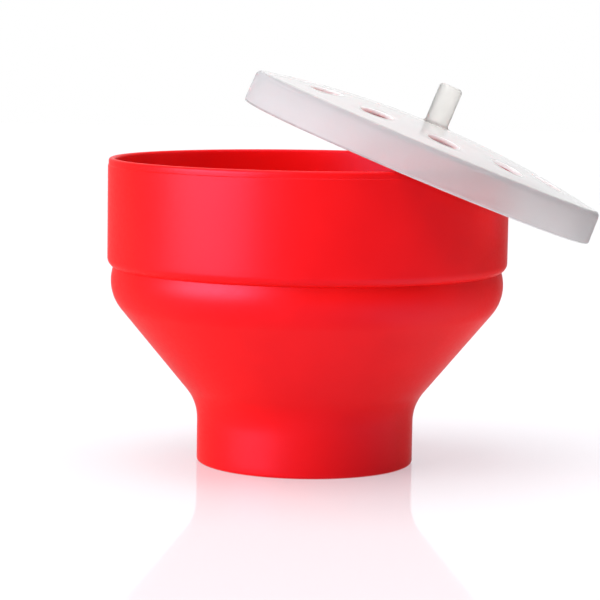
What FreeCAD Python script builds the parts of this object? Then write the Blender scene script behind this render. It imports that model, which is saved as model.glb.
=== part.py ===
import FreeCAD, Part
import math
import os

# A collapsible silicone popcorn maker: a round bowl that folds at two living hinges, and a loose
# domed lid that leans on the rim. Sizes are in millimetres. The bowl stands on z = 0 with its
# axis on Z, and the lid leans down towards +X.

# Base cup: the straight foot of the bowl and the hollow curve above it
base_radius = 54.4
base_edge_round = 1.5
base_height = 21.0
floor_thickness = 4.0
floor_corner_round = 8.0
flare_round = 25.0
bowl_wall = 2.8

# Folding wall: a cone that ends in a bulged shoulder under the crease
cone_angle = 39.5
bulge_round = 22.0
bulge_setback = 1.8
crease_rise = 7.0
crease_wall = 1.8

# Upright band with its rim
band_radius = 100.0
band_wall = 3.4
band_height = 54.0
band_foot_round = 5.0
lip_height = 3.3
lip_inset = 0.35

# Lid: a low dome with a flared skirt, a ring of steam vents and a peg to hold it by
lid_side_gap = 4.3
lid_wall = 2.0
dome_rise = 9.1
skirt_height = 16.4
skirt_flare = 0.5
lid_edge_round = 1.6
vent_count = 12
vent_diameter = 16.0
vent_circle_radius = 67.5
first_vent_angle = -88.0
knob_diameter = 12.0
knob_height = 20.5
knob_edge_round = 2.0

# How the lid leans: tilt in degrees, and the room left where it touches the rim
lid_tilt = 21.8
lid_rest_clearance = 0.3

# How finely the lid's resting place is sought
hem_steps = 720
reach_steps = 60
reach_halvings = 40


def point(radius, height):
    """Point of a turned outline, in the XZ plane."""
    return FreeCAD.Vector(radius, 0, height)


def on_circle(centre, radius, degrees):
    """Point of a circle in the XZ plane; 0 degrees is outwards and 90 degrees is up."""
    turn = math.radians(degrees)
    return point(centre.x + radius * math.cos(turn), centre.z + radius * math.sin(turn))


def turned(start, *runs):
    """Solid turned about Z. Each run is (end,) for a line or (middle, end) for an arc."""
    edges = []
    here = start
    for run in runs:
        if len(run) == 1:
            edges.append(Part.LineSegment(here, run[0]).toShape())
        else:
            edges.append(Part.Arc(here, run[0], run[1]).toShape())
        here = run[-1]
    if here.distanceToPoint(start) > 1e-6:
        edges.append(Part.LineSegment(here, start).toShape())
    face = Part.Face(Part.Wire(edges))
    return face.revolve(FreeCAD.Vector(0, 0, 0), FreeCAD.Vector(0, 0, 1), 360)


def edges_at(solid, radius, height):
    """Round edges of a turned solid that lie at this radius and height."""
    wanted = []
    for edge in solid.Edges:
        spot = edge.Vertexes[0].Point
        flat = abs(edge.BoundBox.ZLength) < 1e-6
        if flat and abs(math.hypot(spot.x, spot.y) - radius) < 1e-4 and abs(spot.z - height) < 1e-4:
            wanted.append(edge)
    return wanted


# Lower hinge: the hollow curve turns from upright to the slant of the cone
flare_centre = point(base_radius + flare_round, base_height)
hinge_outside = on_circle(flare_centre, flare_round, 180 - cone_angle)
hinge_inside = on_circle(flare_centre, flare_round + bowl_wall, 180 - cone_angle)

# Shoulder: its height follows from the cone that meets both curves without a corner
bulge_radius = band_radius - bulge_setback
slant = math.radians(cone_angle)
cone_reach = bulge_radius - bulge_round * (1 - math.cos(slant)) - hinge_outside.x
bulge_height = hinge_outside.z + cone_reach / math.tan(slant) + bulge_round * math.sin(slant)
bulge_centre = point(bulge_radius - bulge_round, bulge_height)
cone_top_outside = on_circle(bulge_centre, bulge_round, -cone_angle)
cone_top_inside = on_circle(bulge_centre, bulge_round - bowl_wall, -cone_angle)

# Crease: the upper hinge, where the shoulder meets the band
crease_angle = math.degrees(math.asin(crease_rise / bulge_round))
crease_outside = on_circle(bulge_centre, bulge_round, crease_angle)
crease_inside = point(crease_outside.x - crease_wall, crease_outside.z)
rim_height = crease_outside.z + band_height

# Lid sizes that follow from the band it drops into
band_inside = band_radius - band_wall
lid_radius = band_inside - lid_side_gap
knob_radius = knob_diameter / 2
skirt_radius = lid_radius + skirt_flare
hem_round = lid_wall / 2
hem_depth = skirt_height - hem_round
dome_radius = (lid_radius ** 2 + dome_rise ** 2) / (2 * dome_rise)
dome_centre = point(0, dome_rise - dome_radius)


def dome_height(radius, sphere):
    """Height of a sphere about the dome's centre over this radius, in the lid's own frame."""
    return dome_centre.z + math.sqrt(sphere ** 2 - radius ** 2)


def base_cup():
    """Thick foot with its floor, open at the top, up to the lower hinge."""
    wall_inside = base_radius - bowl_wall
    foot_centre = point(base_radius - base_edge_round, base_edge_round)
    floor_centre = point(wall_inside - floor_corner_round, floor_thickness + floor_corner_round)
    half_flare = 180 - cone_angle / 2
    return turned(
        point(0, 0),
        (point(foot_centre.x, 0),),
        (on_circle(foot_centre, base_edge_round, -45), point(base_radius, base_edge_round)),
        (point(base_radius, base_height),),
        (on_circle(flare_centre, flare_round, half_flare), hinge_outside),
        (hinge_inside,),
        (on_circle(flare_centre, flare_round + bowl_wall, half_flare), point(wall_inside, base_height)),
        (point(wall_inside, floor_centre.z),),
        (on_circle(floor_centre, floor_corner_round, -45), point(floor_centre.x, floor_thickness)),
        (point(0, floor_thickness),),
    )


def fold_wall():
    """Slanted wall with its bulged shoulder, from the lower hinge to the crease."""
    half_bulge = (crease_angle - cone_angle) / 2
    bulge_inside = bulge_round - bowl_wall
    return turned(
        hinge_outside,
        (cone_top_outside,),
        (on_circle(bulge_centre, bulge_round, half_bulge), crease_outside),
        (crease_inside,),
        (on_circle(bulge_centre, bulge_inside, 0),),
        (on_circle(bulge_centre, bulge_inside, -cone_angle / 2), cone_top_inside),
        (hinge_inside,),
    )


def rim_band():
    """Upright band: rounded lower edge, lip set in above a fine shoulder, and a round rim."""
    foot_reach = crease_outside.x - (band_radius - band_foot_round)
    foot_drop = math.sqrt(band_foot_round ** 2 - foot_reach ** 2)
    foot_centre = point(band_radius - band_foot_round, crease_outside.z + foot_drop)
    foot_angle = math.degrees(math.atan2(-foot_drop, foot_reach))
    lip_radius = band_radius - lip_inset
    rim_round = (lip_radius - band_inside) / 2
    rim_centre = point(band_inside + rim_round, rim_height - rim_round)
    lip_foot = rim_height - lip_height
    return turned(
        crease_outside,
        (on_circle(foot_centre, band_foot_round, foot_angle / 2), point(band_radius, foot_centre.z)),
        (point(band_radius, lip_foot - lip_inset),),
        (point(lip_radius, lip_foot),),
        (point(lip_radius, rim_centre.z),),
        (on_circle(rim_centre, rim_round, 90), point(band_inside, rim_centre.z)),
        (point(band_inside, foot_centre.z),),
        (crease_inside,),
    )


def lid():
    """Domed lid in its own frame, with its top edge in the plane z = 0."""
    inner_sphere = dome_radius - lid_wall
    seat_height = dome_height(knob_radius, dome_radius)
    half_dome = dome_height(lid_radius / 2, dome_radius)
    inner_radius = lid_radius - lid_wall
    inner_corner = dome_height(inner_radius, inner_sphere)
    half_inner = dome_height(inner_radius / 2, inner_sphere)
    shell = turned(
        point(0, seat_height),
        (point(knob_radius, seat_height),),
        (point(lid_radius / 2, half_dome), point(lid_radius, 0)),
        (point(skirt_radius, -hem_depth),),
        (point(skirt_radius - hem_round, -skirt_height), point(skirt_radius - lid_wall, -hem_depth)),
        (point(inner_radius, inner_corner),),
        (point(inner_radius / 2, half_inner), point(0, dome_height(0, inner_sphere))),
    )
    shell = shell.makeFillet(lid_edge_round, edges_at(shell, lid_radius, 0))
    vents = []
    for number in range(vent_count):
        turn = math.radians(number * 360 / vent_count + first_vent_angle)
        foot = FreeCAD.Vector(
            vent_circle_radius * math.cos(turn),
            vent_circle_radius * math.sin(turn),
            -lid_wall,
        )
        vents.append(Part.makeCylinder(vent_diameter / 2, dome_rise + 2 * lid_wall, foot))
    return shell.cut(Part.makeCompound(vents)).Solids[0]


def lid_knob():
    """Round peg on the flat seat in the middle of the dome, in the lid's own frame."""
    foot = dome_height(knob_radius, dome_radius)
    top = foot + knob_height
    edge_centre = point(knob_radius - knob_edge_round, top - knob_edge_round)
    return turned(
        point(0, foot),
        (point(knob_radius, foot),),
        (point(knob_radius, edge_centre.z),),
        (on_circle(edge_centre, knob_edge_round, 45), point(edge_centre.x, top)),
        (point(0, top),),
    )


def lid_place():
    """Where the lid leans: it rests on the rim under its dome and at two places of its skirt.

    At each place along X the dome meets the rim at one height, and the skirt's lower edge
    passes over the rim at another. The lid goes outwards until the two heights are the same.
    A lid that is too small for that rests on its skirt alone.
    """
    tilt = math.radians(lid_tilt)
    rim_round = (band_wall - lip_inset) / 2
    rim_ring = band_inside + rim_round
    rim_ring_height = rim_height - rim_round
    hem_ring = skirt_radius - hem_round
    hem_room = rim_round + hem_round + lid_rest_clearance
    dome_room = dome_radius - lid_wall - rim_round - lid_rest_clearance
    dome_arm = dome_radius - dome_rise

    def height_on_dome(out):
        reach = rim_ring - out + dome_arm * math.sin(tilt)
        return rim_ring_height - math.sqrt(dome_room ** 2 - reach ** 2) + dome_arm * math.cos(tilt)

    def height_on_skirt(out):
        heights = []
        for step in range(hem_steps + 1):
            turn = math.pi * step / hem_steps
            along = hem_ring * math.cos(turn)
            x = out + along * math.cos(tilt) - hem_depth * math.sin(tilt)
            aside = abs(math.hypot(x, hem_ring * math.sin(turn)) - rim_ring)
            if aside < hem_room:
                drop = along * math.sin(tilt) + hem_depth * math.cos(tilt)
                heights.append(rim_ring_height + math.sqrt(hem_room ** 2 - aside ** 2) + drop)
        return max(heights)

    def skirt_lead(out):
        return height_on_skirt(out) - height_on_dome(out)

    nearest = rim_ring + hem_room - hem_ring * math.cos(tilt) + hem_depth * math.sin(tilt)
    reach_step = (band_radius - nearest) / reach_steps
    near = min((nearest + reach_step * step for step in range(reach_steps)), key=skirt_lead)
    far = band_radius
    for halving in range(reach_halvings):
        middle = (near + far) / 2
        if skirt_lead(middle) < 0:
            near = middle
        else:
            far = middle
    place = FreeCAD.Vector(near, 0, max(height_on_dome(near), height_on_skirt(near)))
    return FreeCAD.Placement(place, FreeCAD.Rotation(FreeCAD.Vector(0, 1, 0), lid_tilt))


lean = lid_place()
pieces = {
    "base_cup": base_cup(),
    "fold_wall": fold_wall(),
    "rim_band": rim_band(),
    "lid": lid(),
    "lid_knob": lid_knob(),
}
for name in ("lid", "lid_knob"):
    pieces[name].Placement = lean

os.makedirs("parts", exist_ok=True)
for name, solid in pieces.items():
    solid.exportStep("parts/" + name + ".step")
    print(name, "volume %.1f cm3" % (solid.Volume / 1000), "valid", solid.isValid())
print("rim height %.2f, crease height %.2f" % (rim_height, crease_outside.z))
print("lid centre at x %.2f, z %.2f" % (lean.Base.x, lean.Base.z))
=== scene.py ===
# %% [markdown]
# A collapsible popcorn maker: a red silicone bowl that folds flat, and a milky lid leaning on its rim.
# The CAD model is loaded first and stays fixed. It says where every piece is and how it moves.
# Each finished piece below takes the place of one or more of its plain solids.

# %% Load the frame
import math

import bmesh
import bpy
from mathutils import Matrix, Vector


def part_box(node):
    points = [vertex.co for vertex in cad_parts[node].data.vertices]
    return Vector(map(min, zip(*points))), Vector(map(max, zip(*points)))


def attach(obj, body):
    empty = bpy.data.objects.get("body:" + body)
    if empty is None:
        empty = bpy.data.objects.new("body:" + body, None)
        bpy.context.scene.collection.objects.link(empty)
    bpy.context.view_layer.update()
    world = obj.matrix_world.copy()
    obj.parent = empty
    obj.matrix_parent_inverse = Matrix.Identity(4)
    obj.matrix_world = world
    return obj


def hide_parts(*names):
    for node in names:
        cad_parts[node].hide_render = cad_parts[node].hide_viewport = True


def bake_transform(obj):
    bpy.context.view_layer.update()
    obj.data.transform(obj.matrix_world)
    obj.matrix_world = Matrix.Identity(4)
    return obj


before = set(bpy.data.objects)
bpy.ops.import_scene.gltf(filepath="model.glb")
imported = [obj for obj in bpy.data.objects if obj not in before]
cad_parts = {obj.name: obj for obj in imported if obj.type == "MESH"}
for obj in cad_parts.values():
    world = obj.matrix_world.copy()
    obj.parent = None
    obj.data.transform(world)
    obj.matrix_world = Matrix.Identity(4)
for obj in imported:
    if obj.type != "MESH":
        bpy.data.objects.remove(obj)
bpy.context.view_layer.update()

mm = 0.001

# %% [markdown]
# The camera looks across the rim from a little above it, from far away through a long lens. Such a view
# is flat, so the sides of the bowl hardly converge. The small turn and roll put the upright of the
# picture where it is in the photograph.

# %% Camera
camera_place = Vector((0, -1218.5, 218.2)) * mm
camera_pitch = math.radians(6.407)
camera_turn = math.radians(0.157)
camera_roll = math.radians(0.898)
# Blender takes the lens and the sensor in millimetres.
focal_length = 146.45
sensor_width = 36.0

camera_data = bpy.data.cameras.new("camera")
camera_data.lens = focal_length
camera_data.sensor_width = sensor_width
camera = bpy.data.objects.new("camera", camera_data)
bpy.context.scene.collection.objects.link(camera)
bpy.context.scene.camera = camera
upright = Matrix.Rotation(math.radians(90) - camera_pitch, 4, "X")
turn = Matrix.Rotation(camera_turn, 4, "Z")
roll = Matrix.Rotation(camera_roll, 4, "Z")
camera.matrix_world = Matrix.Translation(camera_place) @ turn @ upright @ roll
print("camera at", tuple(round(value, 3) for value in camera.location))

# %% [markdown]
# The outlines of this object are straight runs and arcs, as on a drawing for a mould. Two helpers draw
# them in the XZ plane: one carries the last point straight on, the other sweeps it round a centre.
# An outline made by hand from points would need a point for every facet, so operators do that work.

# %% Outline helpers
# Points closer together than this count as one.
hair = 0.01 * mm


def last_point(made):
    """The point that a sweep ended on."""
    return [part for part in made["geom_last"] if isinstance(part, bmesh.types.BMVert)][0]


def straight(bm, last, radius, height, steps=1):
    """Carry the outline straight on to a new point, in even steps."""
    stride = (Vector((radius, 0, height)) - last.co) / steps
    return last_point(bmesh.ops.spin(
        bm, geom=[last], cent=(0, 0, 0), axis=(0, 0, 1), dvec=stride,
        angle=0, steps=steps, use_duplicate=False,
    ))


def arc(bm, last, centre, degrees, steps):
    """Sweep the outline's last point round a centre; a positive angle goes from +X towards +Z."""
    return last_point(bmesh.ops.spin(
        bm, geom=[last], cent=(centre[0], 0, centre[1]), axis=(0, -1, 0),
        angle=math.radians(degrees), steps=steps, use_duplicate=False,
    ))


def turned(bm, steps):
    """Turn the outline once round Z, close its seam and poles, and point its faces outwards."""
    bmesh.ops.spin(
        bm, geom=bm.verts[:] + bm.edges[:], cent=(0, 0, 0), axis=(0, 0, 1),
        angle=math.radians(360), steps=steps, use_merge=True, use_duplicate=False,
    )
    bmesh.ops.remove_doubles(bm, verts=bm.verts[:], dist=hair)
    bmesh.ops.recalc_face_normals(bm, faces=bm.faces[:])


def finished(bm, name, sharp_degrees):
    """Make a smooth shaded object of a bmesh, with its place in its mesh and its hard edges kept."""
    mesh = bpy.data.meshes.new(name)
    bm.to_mesh(mesh)
    bm.free()
    mesh.shade_smooth()
    mesh.set_sharp_from_angle(angle=math.radians(sharp_degrees))
    piece = bpy.data.objects.new(name, mesh)
    bpy.context.scene.collection.objects.link(piece)
    print(name, len(mesh.polygons), "faces")
    return piece


# %% [markdown]
# The bowl is one silicone moulding. Its foot, folding wall and band are three CAD solids because they move,
# but the eye sees one skin without a seam, so the skin is one mesh. Its main sizes are read from the frame.
# The rest are the rounds and walls of the moulding, in millimetres.

# %% Bowl sizes
hinge_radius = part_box("base_cup")[1].x
hinge_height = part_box("fold_wall")[0].z
bulge_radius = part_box("fold_wall")[1].x
crease_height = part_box("rim_band")[0].z
band_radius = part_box("rim_band")[1].x
rim_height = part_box("rim_band")[1].z

bowl_wall = 2.8 * mm
base_edge_round = 1.5 * mm
floor_thickness = 4.0 * mm
floor_corner_round = 8.0 * mm
flare_round = 25.0 * mm
cone_degrees = 39.5
bulge_round = 22.0 * mm
crease_rise = 7.0 * mm
crease_wall = 1.8 * mm
band_wall = 3.4 * mm
band_foot_round = 5.0 * mm
lip_height = 3.3 * mm
lip_inset = 0.35 * mm

cone_cos = math.cos(math.radians(cone_degrees))
cone_sin = math.sin(math.radians(cone_degrees))
base_radius = hinge_radius - flare_round * (1 - cone_cos)
base_height = hinge_height - flare_round * cone_sin
bulge_centre = (bulge_radius - bulge_round, crease_height - crease_rise)
crease_degrees = math.degrees(math.asin(crease_rise / bulge_round))
crease_radius = bulge_centre[0] + math.sqrt(bulge_round ** 2 - crease_rise ** 2)
band_inside = band_radius - band_wall
print("foot radius %.1f mm, crease radius %.1f mm" % (base_radius / mm, crease_radius / mm))

# %% [markdown]
# The outline goes from the middle of the underside, up the outside, over the rim and down the inside to the
# middle of the floor. Turned once round, it is a closed shell with the true wall everywhere. The crease is
# left sharp: on the real bowl it is a thin dark line under the band's rounded lower edge.

# %% Bowl outside
bowl = bmesh.new()
foot_centre = (base_radius - base_edge_round, base_edge_round)
flare_centre = (base_radius + flare_round, base_height)
foot_reach = crease_radius - (band_radius - band_foot_round)
foot_drop = math.sqrt(band_foot_round ** 2 - foot_reach ** 2)
band_foot_centre = (band_radius - band_foot_round, crease_height + foot_drop)
band_foot_degrees = math.degrees(math.atan2(foot_drop, foot_reach))
lip_radius = band_radius - lip_inset
lip_foot = rim_height - lip_height
rim_round = (lip_radius - band_inside) / 2
rim_centre = (band_inside + rim_round, rim_height - rim_round)

tip = bowl.verts.new((0, 0, 0))
tip = straight(bowl, tip, foot_centre[0], 0, steps=4)
tip = arc(bowl, tip, foot_centre, 90, steps=6)
tip = straight(bowl, tip, base_radius, base_height, steps=6)
tip = arc(bowl, tip, flare_centre, -cone_degrees, steps=12)
tip = straight(bowl, tip, bulge_centre[0] + bulge_round * cone_cos,
               bulge_centre[1] - bulge_round * cone_sin, steps=30)
tip = arc(bowl, tip, bulge_centre, cone_degrees + crease_degrees, steps=22)
tip = arc(bowl, tip, band_foot_centre, band_foot_degrees, steps=10)
tip = straight(bowl, tip, band_radius, lip_foot - lip_inset, steps=16)
tip = straight(bowl, tip, lip_radius, lip_foot)
tip = straight(bowl, tip, lip_radius, rim_centre[1], steps=2)
tip = arc(bowl, tip, rim_centre, 180, steps=12)
print("outside and rim:", len(bowl.verts), "points")

# %% [markdown]
# The inside runs from the rim back down to the floor. A Solidify modifier would give one thickness all
# over, but this wall is thick at the band and thin at the crease, where the bowl folds, so the inside is
# drawn as well. Its bulge and flare share their centres with the outside, which keeps both bends even.

# %% Bowl inside
cup_inside = base_radius - bowl_wall
floor_centre = (cup_inside - floor_corner_round, floor_thickness + floor_corner_round)
bulge_inside = bulge_round - bowl_wall
flare_inside = flare_round + bowl_wall

tip = straight(bowl, tip, band_inside, band_foot_centre[1], steps=16)
tip = straight(bowl, tip, crease_radius - crease_wall, crease_height, steps=2)
tip = straight(bowl, tip, bulge_centre[0] + bulge_inside, bulge_centre[1], steps=2)
tip = arc(bowl, tip, bulge_centre, -cone_degrees, steps=14)
tip = straight(bowl, tip, flare_centre[0] - flare_inside * cone_cos,
               flare_centre[1] + flare_inside * cone_sin, steps=30)
tip = arc(bowl, tip, flare_centre, cone_degrees, steps=12)
tip = straight(bowl, tip, cup_inside, floor_centre[1], steps=3)
tip = arc(bowl, tip, floor_centre, -90, steps=10)
tip = straight(bowl, tip, 0, floor_thickness, steps=6)
turned(bowl, steps=192)
bowl_skin = finished(bowl, "bowl_skin", sharp_degrees=40)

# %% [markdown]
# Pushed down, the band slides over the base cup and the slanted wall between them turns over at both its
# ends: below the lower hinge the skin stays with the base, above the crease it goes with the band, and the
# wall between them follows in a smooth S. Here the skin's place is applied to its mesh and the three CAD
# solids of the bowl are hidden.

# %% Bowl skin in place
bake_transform(bowl_skin)
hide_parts("base_cup", "fold_wall", "rim_band")
print("fold zone from %.1f to %.1f mm" % (hinge_height / mm, crease_height / mm))

# %% [markdown]
# The lid is a low dome with a short skirt and a ring of round steam vents. It leans on the rim, but it is
# modelled upright about Z, where a lathe would turn it, and set in its place when it is done. The lower
# corner of the box round the lid's CAD solid says where that place is.

# %% Lid sizes
lid_side_gap = 4.3 * mm
lid_wall = 2.0 * mm
dome_rise = 9.1 * mm
skirt_height = 16.4 * mm
skirt_flare = 0.5 * mm
vent_count = 12
vent_radius = 8.0 * mm
vent_circle_radius = 67.5 * mm
vent_steps = 5
steps_per_vent = 20
lid_tilt = math.radians(21.8)

lid_radius = band_inside - lid_side_gap
skirt_radius = lid_radius + skirt_flare
hem_round = lid_wall / 2
hem_depth = skirt_height - hem_round
dome_radius = (lid_radius ** 2 + dome_rise ** 2) / (2 * dome_rise)
dome_centre = (0, dome_rise - dome_radius)
hem_ring = skirt_radius - hem_round
lid_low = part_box("lid")[0]
lid_place = Vector((
    lid_low.x + hem_ring * math.cos(lid_tilt) + hem_depth * math.sin(lid_tilt) + hem_round,
    0,
    lid_low.z + hem_ring * math.sin(lid_tilt) + hem_depth * math.cos(lid_tilt) + hem_round,
))
print("lid centre at x %.2f, z %.2f mm" % (lid_place.x / mm, lid_place.z / mm))

# %% [markdown]
# Cutting round holes with a boolean leaves uneven faces that show in a glossy dome. Here the dome is
# turned with a grid that suits the vents: a block of faces is taken out for each vent, and its edge is
# drawn in to a circle, so the dome stays even. The outline goes over the dome, down the skirt, round the
# hem and back.

# %% Lid outline
def dome_degrees(radius, sphere):
    """How far from the top of a sphere this radius lies."""
    return math.degrees(math.asin(radius / sphere))


def dome_height(radius, sphere):
    """Height of a sphere about the dome's centre over this radius."""
    return dome_centre[1] + math.sqrt(sphere ** 2 - radius ** 2)


lid = bmesh.new()
inner_sphere = dome_radius - lid_wall
inner_radius = lid_radius - lid_wall
vent_near = vent_circle_radius - vent_radius
vent_far = vent_circle_radius + vent_radius
tip = lid.verts.new((0, 0, dome_rise))
for reach, start, steps in (
    (vent_near, 0, 20), (vent_far, vent_near, 2 * vent_steps), (lid_radius, vent_far, 6),
):
    sweep = dome_degrees(reach, dome_radius) - dome_degrees(start, dome_radius)
    tip = arc(lid, tip, dome_centre, -sweep, steps=steps)
tip = straight(lid, tip, skirt_radius, -hem_depth, steps=6)
tip = arc(lid, tip, (hem_ring, -hem_depth), -180, steps=8)
tip = straight(lid, tip, inner_radius, dome_height(inner_radius, inner_sphere), steps=8)
for reach, start, steps in (
    (inner_radius, vent_far, 8), (vent_far, vent_near, 2 * vent_steps), (vent_near, 0, 20),
):
    sweep = dome_degrees(reach, inner_sphere) - dome_degrees(start, inner_sphere)
    tip = arc(lid, tip, dome_centre, sweep, steps=steps)
turned(lid, steps=vent_count * steps_per_vent)
print("lid shell:", len(lid.faces), "faces")

# %% [markdown]
# Each vent is a round hole with straight walls. The faces in its block are deleted above and below, the
# two open edges are drawn in to circles on the outer and the inner sphere, and bridge_loops joins them by
# a wall. The grid round each hole stays in order, which a cut through it would not leave.

# %% Lid vents
vent_turn = math.tau / vent_count
block_turn = vent_steps * math.tau / (vent_count * steps_per_vent)


def vent_angle(spot):
    """Direction of the vent that lies nearest to this spot of the dome."""
    return round(math.atan2(spot.y, spot.x) / vent_turn) * vent_turn


blocks = []
for face in lid.faces:
    spot = face.calc_center_median()
    aside = abs(math.atan2(spot.y, spot.x) - vent_angle(spot))
    if aside < block_turn and vent_near < spot.xy.length < vent_far:
        blocks.append(face)
bmesh.ops.delete(lid, geom=blocks, context="FACES")

vent_rims = [edge for edge in lid.edges if edge.is_boundary]
for vert in {vert for edge in vent_rims for vert in edge.verts}:
    on_top = vert.co.z > dome_height(vert.co.xy.length, dome_radius - lid_wall / 2)
    angle = vent_angle(vert.co)
    middle = Vector((math.cos(angle), math.sin(angle))) * vent_circle_radius
    vert.co.xy = middle + (vert.co.xy - middle).normalized() * vent_radius
    vert.co.z = dome_height(vert.co.xy.length, dome_radius if on_top else inner_sphere)
for number in range(vent_count):
    angle = math.remainder(number * vent_turn, math.tau)
    rim = []
    for edge in vent_rims:
        aside = vent_angle(edge.verts[0].co) - angle
        if abs(math.remainder(aside, math.tau)) < block_turn:
            rim.append(edge)
    bmesh.ops.bridge_loops(lid, edges=rim)
print("vents:", vent_count, "with", len(vent_rims), "rim edges")

# %% [markdown]
# No moulded edge is sharp. The bevel operator rounds the dome's outer corner, the corner inside it and
# both edges of every vent, each by its own width, so that they catch a thin line of light as on the real
# lid. The rings of faces beside an edge have to be wider than its round, or the bevel would fold them over.

# %% Lid edges
lid_edge_round = 2.2 * mm
inner_corner_round = 1.2 * mm
vent_edge_round = 0.5 * mm


def ring_edges(radius, height):
    """The edges of the ring that lies at this radius and height on the lid."""
    corner = Vector((radius, height))
    found = []
    for edge in lid.edges:
        ends = [Vector((vert.co.xy.length, vert.co.z)) for vert in edge.verts]
        if all((end - corner).length < hair for end in ends):
            found.append(edge)
    return found


top_edge = ring_edges(lid_radius, 0)
inner_edge = ring_edges(inner_radius, dome_height(inner_radius, inner_sphere))
for edges, width, segments in (
    (top_edge, lid_edge_round, 6), (inner_edge, inner_corner_round, 4), (vent_rims, vent_edge_round, 3),
):
    bmesh.ops.bevel(
        lid, geom=edges, offset=width, segments=segments, profile=0.5, affect="EDGES", material=-1,
    )
    print("bevelled", len(edges), "edges")
bmesh.ops.recalc_face_normals(lid, faces=lid.faces[:])

# %% [markdown]
# The mould is polished where the dome and the hem lie and blasted where the skirt lies, and the vents are
# punched, so the lid has three finishes. Each face gets the number of its material slot by where it lies
# and how far it leans, while the lid still stands upright about Z.

# %% Lid finishes
frosted, polished, cut = 0, 1, 2
# The dome leans by less than this all over. What leans further is an edge or a wall.
dome_lean_degrees = 12
top_lean = math.cos(math.radians(dome_lean_degrees))
for face in lid.faces:
    spot = face.calc_center_median()
    if spot.z < -hem_depth or (spot.z > 0 and face.normal.z > top_lean):
        face.material_index = polished
    elif spot.xy.length < vent_far + lid_wall and abs(face.normal.z) < top_lean:
        face.material_index = cut
    else:
        face.material_index = frosted
print("polished faces:", sum(face.material_index == polished for face in lid.faces))

# %% [markdown]
# The lid leans on the rim. One matrix turns it, tilts it and carries it there, and the matrix is applied
# to the mesh. The object itself stays at the origin, so that a pattern on Object coordinates stays put too.

# %% Lid in its place
first_vent_degrees = -88
first_vent_turn = Matrix.Rotation(math.radians(first_vent_degrees), 4, "Z")
lean = Matrix.Translation(lid_place) @ Matrix.Rotation(lid_tilt, 4, "Y") @ first_vent_turn
bmesh.ops.transform(lid, matrix=lean, verts=lid.verts[:])
lid_shell = finished(lid, "lid_shell", sharp_degrees=50)
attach(lid_shell, "lid")
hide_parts("lid")

# %% [markdown]
# The grip is a short round peg in the middle of the dome, moulded a little thicker and creamier than the
# lid. A small hollow round runs about its foot, as a mould leaves it where a pin meets a sheet.

# %% Lid peg
peg_radius = 6.0 * mm
peg_height = 20.5 * mm
peg_edge_round = 2.0 * mm
peg_foot_round = 1.4 * mm

peg = bmesh.new()
peg_foot = dome_height(peg_radius, dome_radius)
peg_top = peg_foot + peg_height
peg_foot_centre = (peg_radius + peg_foot_round, peg_foot + peg_foot_round)
peg_edge_centre = (peg_radius - peg_edge_round, peg_top - peg_edge_round)
tip = peg.verts.new((0, 0, peg_foot))
tip = straight(peg, tip, peg_foot_centre[0], peg_foot, steps=3)
tip = arc(peg, tip, peg_foot_centre, -90, steps=5)
tip = straight(peg, tip, peg_radius, peg_edge_centre[1], steps=8)
tip = arc(peg, tip, peg_edge_centre, 90, steps=8)
tip = straight(peg, tip, 0, peg_top, steps=3)
turned(peg, steps=64)
bmesh.ops.transform(peg, matrix=lean, verts=peg.verts[:])
lid_peg = finished(peg, "lid_peg", sharp_degrees=50)
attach(lid_peg, "lid")
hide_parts("lid_knob")

# %% [markdown]
# Materials are built from nodes. Colours are written as sRGB hex values, as a paint program shows them,
# and one function turns them to the linear values that light is added up in. One more adds a node.

# %% Material helpers
def linear(hex_colour):
    """Linear RGBA of an sRGB hex colour, by the curve of the sRGB standard."""
    shares = [int(hex_colour[place:place + 2], 16) / 255 for place in (0, 2, 4)]
    light = [share / 12.92 if share <= 0.04045 else ((share + 0.055) / 1.055) ** 2.4 for share in shares]
    return (*light, 1.0)


def add(tree, kind, inputs=None, **settings):
    """Add a node, set its properties, and give each named input a value or a socket to read."""
    made = tree.nodes.new(kind)
    for name, value in settings.items():
        setattr(made, name, value)
    for name, value in (inputs or {}).items():
        if isinstance(value, bpy.types.NodeSocket):
            tree.links.new(value, made.inputs[name])
        else:
            made.inputs[name].default_value = value
    return made


def new_material(name):
    """An empty node material, and the tree to build it in."""
    material = bpy.data.materials.new(name)
    material.use_nodes = True
    material.node_tree.nodes.clear()
    return material, material.node_tree


# %% [markdown]
# The bowl is moulded in pigmented silicone rubber: a deep even red with a satin skin that spreads a lamp
# to a broad soft streak. One flat red would do at a glance, but no moulding is quite even. Two nearly
# equal reds drift into each other over some centimetres, and a fine grain from the mould varies the gloss.

# %% Red silicone
red_cloud = 45 * mm
# The real grain is finer than a tenth of a millimetre. It is drawn at 2 mm, because finer would not show.
red_grain = 2.0 * mm
red_grain_depth = 0.05 * mm
silicone_ior = 1.41

red_silicone, tree = new_material("moulded red silicone, satin")
place = add(tree, "ShaderNodeTexCoord").outputs["Object"]
cloud = add(tree, "ShaderNodeTexNoise", {"Vector": place, "Scale": 1 / red_cloud, "Detail": 2.0})
red = add(tree, "ShaderNodeValToRGB", {"Fac": cloud.outputs["Fac"]})
for stop, position, colour in zip(red.color_ramp.elements, (0.35, 0.65), ("E80E0A", "EF110D")):
    stop.position = position
    stop.color = linear(colour)
grain = add(tree, "ShaderNodeTexNoise", {"Vector": place, "Scale": 1 / red_grain, "Detail": 3.0})
rough = add(tree, "ShaderNodeMapRange", {
    "Value": grain.outputs["Fac"], "From Min": 0.3, "From Max": 0.7, "To Min": 0.34, "To Max": 0.42,
})
bump = add(tree, "ShaderNodeBump", {
    "Height": grain.outputs["Fac"], "Strength": 0.15, "Distance": red_grain_depth,
})
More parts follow.
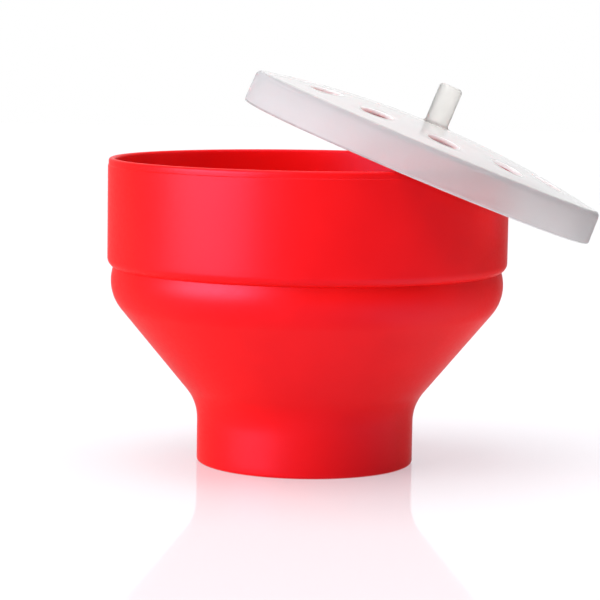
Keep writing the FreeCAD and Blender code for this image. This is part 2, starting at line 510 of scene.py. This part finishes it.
# A satin skin mirrors less than a smooth one, and the streak of the lamp on this red is a little pink.
shader = add(tree, "ShaderNodeBsdfPrincipled", {
    "Base Color": red.outputs["Color"], "Roughness": rough.outputs["Result"],
    "Normal": bump.outputs["Normal"], "IOR": silicone_ior,
    "Specular IOR Level": 0.35, "Specular Tint": linear("FFBCFF"),
})
add(tree, "ShaderNodeOutputMaterial", {"Surface": shader.outputs["BSDF"]})
bowl_skin.data.materials.append(red_silicone)
print("finish:", red_silicone.name)

# %% [markdown]
# The lid is the same rubber without pigment, milky and translucent. Light from behind comes through it,
# and what stands close behind it shows as a blurred patch of colour. A rough see-through share of the
# surface gives that. A volume full of haze would be nearer to the real thing, but takes far longer to
# come out clean. Its grain, too, is drawn coarser than it is, because finer would not show.

# %% Milky silicone
milky_grain = 1.0 * mm
milky_grain_depth = 0.02 * mm
# The grain moves the roughness by this much either way.
milky_grain_swing = 0.04


def milky_silicone(name, tones, roughness, ior, see_through, scatter, gloss):
    """Milky silicone whose tone goes with the depth below the lid's top edge; a change of tone there is
    painted shade.
    """
    material, tree = new_material(name)
    place = add(tree, "ShaderNodeTexCoord").outputs["Object"]
    on_lid = add(tree, "ShaderNodeMapping", {
        "Vector": place, "Location": lid_place, "Rotation": (0, lid_tilt, 0),
    }, vector_type="TEXTURE")
    height = add(tree, "ShaderNodeSeparateXYZ", {"Vector": on_lid.outputs["Vector"]}).outputs["Z"]
    depth = add(tree, "ShaderNodeMapRange", {
        "Value": height, "From Min": -skirt_height, "From Max": 0.0,
    })
    # A change of tone along this ramp is painted shade; on the skirt it darkens the sheet under the top
    # edge.
    milk = add(tree, "ShaderNodeValToRGB", {"Fac": depth.outputs["Result"]})
    stops = milk.color_ramp.elements
    stops.remove(stops[1])
    for number, (position, colour) in enumerate(tones):
        stop = stops[0] if number == 0 else stops.new(position)
        stop.position = position
        stop.color = linear(colour)
    grain = add(tree, "ShaderNodeTexNoise", {"Vector": place, "Scale": 1 / milky_grain, "Detail": 2.0})
    rough = add(tree, "ShaderNodeMapRange", {
        "Value": grain.outputs["Fac"], "From Min": 0.3, "From Max": 0.7,
        "To Min": roughness - milky_grain_swing, "To Max": roughness + milky_grain_swing,
    })
    bump = add(tree, "ShaderNodeBump", {
        "Height": grain.outputs["Fac"], "Strength": 0.05, "Distance": milky_grain_depth,
    })
    shader = add(tree, "ShaderNodeBsdfPrincipled", {
        "Base Color": milk.outputs["Color"], "Roughness": rough.outputs["Result"],
        "Normal": bump.outputs["Normal"], "IOR": ior, "Specular IOR Level": 0.15,
        "Transmission Weight": see_through,
        "Subsurface Weight": 1.0 if scatter else 0.0, "Subsurface Radius": (1, 1, 1),
        "Subsurface Scale": scatter,
        "Coat Weight": gloss, "Coat Roughness": 0.08, "Coat IOR": silicone_ior,
    })
    add(tree, "ShaderNodeOutputMaterial", {"Surface": shader.outputs["BSDF"]})
    print("finish:", name)
    return material


# %% [markdown]
# Four finishes come from that one function: three for the lid, in the order of its material slots, and
# one for the peg. They differ in how clear the surface is, how much light comes through and how far it
# spreads inside. A lower IOR bends the view behind a piece less. On the skirt it stands for a thin wall,
# on the peg for light that has lost its direction inside.

# %% Finishes of the lid and the peg
deep_scatter = 6 * mm
# Blasted skirt: a soft haze. Painted shade makes it a little darker under the top edge and lighter towards
# the hem.
skirt_white_and_painted_shade = ((0.0, "FCFCFD"), (0.08, "F8F8F9"), (0.80, "F2F2F3"), (0.97, "E8E8EA"))
lid_shell.data.materials.append(milky_silicone(
    "moulded milky silicone, frosted", skirt_white_and_painted_shade,
    roughness=0.50, ior=1.25, see_through=0.62, scatter=0, gloss=0,
))
# Polished dome and hem: a clear skin over the haze, which mirrors the peg and draws a line on the hem.
lid_shell.data.materials.append(milky_silicone(
    "moulded milky silicone, polished", ((0.0, "E9E9EA"), (1.0, "E7E7E8")),
    roughness=0.40, ior=silicone_ior, see_through=0.38, scatter=0, gloss=1,
))
# Walls of the punched vents: they glow with light that has spread inside the sheet. Their white, lighter
# than the dome's, is painted light in the shaded holes.
lid_shell.data.materials.append(milky_silicone(
    "moulded milky silicone, edge", ((0.0, "F6F6F5"), (1.0, "FBFBFA")),
    roughness=0.45, ior=silicone_ior, see_through=0, scatter=deep_scatter, gloss=0,
))
# Peg: a thick milky rod, lit through from behind, a touch creamier than the sheet.
lid_peg.data.materials.append(milky_silicone(
    "moulded milky silicone, thick", ((0.0, "F6F3EF"), (1.0, "F8F5F1")),
    roughness=0.50, ior=1.18, see_through=0.80, scatter=deep_scatter, gloss=0,
))

# %% [markdown]
# The bowl stands on a glossy white floor that mirrors it faintly. The floor is stage, not part of the
# object. In soft light a plain white plane comes out grey, so the floor gives off some light of its own,
# as one that is lit from below does. That light is kept out of the bowl's gloss and out of the lid.

# %% Floor
floor_half = 4.0
floor_mesh = bmesh.new()
bmesh.ops.create_grid(floor_mesh, x_segments=1, y_segments=1, size=floor_half)
floor = finished(floor_mesh, "floor", sharp_degrees=30)
floor.visible_glossy = False
floor.visible_transmission = False
# White acrylic sheet: a bright, even white under a smooth skin that mirrors only a little.
floor_sheet, tree = new_material("cast white acrylic, glossy")
shader = add(tree, "ShaderNodeBsdfPrincipled", {
    "Base Color": linear("B3B1B3"), "Roughness": 0.06, "IOR": 1.17,
    "Emission Color": linear("F6F7FF"), "Emission Strength": 0.4,
})
add(tree, "ShaderNodeOutputMaterial", {"Surface": shader.outputs["BSDF"]})
floor.data.materials.append(floor_sheet)
print("finish:", floor_sheet.name)

# %% [markdown]
# The background of the studio is white paper, brightest straight behind the bowl, where it shines through
# the lid, and darker to the sides, so that the bowl's edges keep their red. How bright it is goes by the
# direction: one ramp runs from front to back, the other from left to right.

# %% Studio background
paper_glow = 0.92
room_glow = 0.10
left_grey = "898989"
right_grey = "303030"

scene = bpy.context.scene
scene.view_settings.view_transform = "Standard"
world = bpy.data.worlds.new("soft white studio")
scene.world = world
world.use_nodes = True
tree = world.node_tree
tree.nodes.clear()
gaze = add(tree, "ShaderNodeTexCoord").outputs["Generated"]
direction = add(tree, "ShaderNodeSeparateXYZ", {"Vector": gaze})
behind = add(tree, "ShaderNodeMapRange", {
    "Value": direction.outputs["Y"], "From Min": -0.4, "From Max": 0.5,
    "To Min": 0.0, "To Max": paper_glow,
})
across = add(tree, "ShaderNodeMapRange", {
    "Value": direction.outputs["X"], "From Min": -1.0, "From Max": 1.0,
})
spread = add(tree, "ShaderNodeValToRGB", {"Fac": across.outputs["Result"]})
stops = spread.color_ramp.elements
stops[0].position = 0.28
stops[0].color = linear(left_grey)
stops[1].position = 0.74
stops[1].color = linear(right_grey)
for position in (0.42, 0.60):
    stops.new(position).color = linear("FFFFFF")
glow = add(tree, "ShaderNodeMath", {
    0: behind.outputs["Result"], 1: spread.outputs["Color"], 2: room_glow,
}, operation="MULTIPLY_ADD")
print("background:", world.name)

# %% [markdown]
# The camera sees the paper pure white. Mirrored in a surface the paper is a little dimmer. Without that
# the far edge of the dome, which mirrors it fully, would be lost against it.

# %% Background as it is seen
mirrored_share = 0.88
path = add(tree, "ShaderNodeLightPath")
gloss = add(tree, "ShaderNodeMath", {
    0: path.outputs["Is Glossy Ray"], 1: path.outputs["Is Reflection Ray"],
}, operation="MULTIPLY")
mirrored = add(tree, "ShaderNodeMapRange", {
    "Value": gloss.outputs["Value"], "To Min": 1.0, "To Max": mirrored_share,
})
dimmed = add(tree, "ShaderNodeMath", {
    0: glow.outputs["Value"], 1: mirrored.outputs["Result"],
}, operation="MULTIPLY")
white = linear("FFFFFF")
ambient = add(tree, "ShaderNodeBackground", {"Strength": dimmed.outputs["Value"], "Color": white})
backdrop = add(tree, "ShaderNodeBackground", {"Strength": 1.0, "Color": white})
paper = add(tree, "ShaderNodeMixShader", {
    0: path.outputs["Is Camera Ray"], 1: ambient.outputs["Background"], 2: backdrop.outputs["Background"],
})
add(tree, "ShaderNodeOutputWorld", {"Surface": paper.outputs["Shader"]})
print("background nodes:", len(tree.nodes))

# %% [markdown]
# Large soft lamps do the rest. A lamp may be kept to some of the pieces, as a card or a net before it
# would do, and to some kinds of light: matt light, gloss, or light that goes through the milky lid.

# %% Softbox
bowl_middle = Vector((0, 0, rim_height / 2))


def softbox(name, place, size, power, lights, pieces=(), tint="FFFFFF", target=bowl_middle):
    """A large area light that looks at a point, for the kinds of light and the pieces that are named."""
    data = bpy.data.lights.new(name, "AREA")
    data.shape = "RECTANGLE"
    data.size, data.size_y = size
    data.energy = power
    data.color = linear(tint)[:3]
    lamp = bpy.data.objects.new(name, data)
    lamp.location = place
    lamp.rotation_euler = (Vector(target) - lamp.location).to_track_quat("-Z", "Y").to_euler()
    lamp.visible_camera = False
    lamp.visible_diffuse = "matt" in lights
    lamp.visible_glossy = "gloss" in lights
    lamp.visible_transmission = "milk" in lights
    scene.collection.objects.link(lamp)
    if pieces:
        lit = bpy.data.collections.new(name)
        for piece in pieces:
            lit.objects.link(piece)
        lamp.light_linking.receiver_collection = lit
    print(name, power, "W")


# %% [markdown]
# The key stands to the left in front. It is three lamps in one place: the light on the bowl and the
# floor, the long highlight down the band, and a cooler light on the lid, so each can be set by itself. A
# lamp from above and two faint fills open the shadows, one from behind shines through the lid, and a small
# glowing card on the floor lifts the underside of the bulge.

# %% Studio lamps
key_place = (-2.51, -1.69, 0.79)
key_size = (2.85, 2.28)
red_side = (bowl_skin, floor)
milky_side = (lid_shell, lid_peg)
card_place = (0.20, -0.08, 0.002)
card_target = (0.20, -0.08, 1.0)
softbox("key softbox", key_place, key_size, 130, ("matt", "milk"), red_side)
softbox("key highlight", key_place, key_size, 185, ("gloss",), red_side)
softbox("lid key", key_place, key_size, 88, ("matt", "milk", "gloss"), milky_side, tint="EEF7FF")
softbox("top softbox", (0.0, -0.1, 1.6), (1.6, 1.6), 18, ("matt", "milk"))
softbox("front fill", (0.5, -1.4, 1.4), (1.4, 1.0), 2, ("matt", "milk"))
softbox("right fill", (3.0, 1.0, 0.95), (2.4, 2.4), 10, ("matt", "milk"))
softbox("lid backlight", (-1.2, 1.0, 0.6), (1.0, 0.8), 4, ("milk",))
softbox("floor card", card_place, (0.22, 0.40), 0.22, ("matt",), target=card_target)
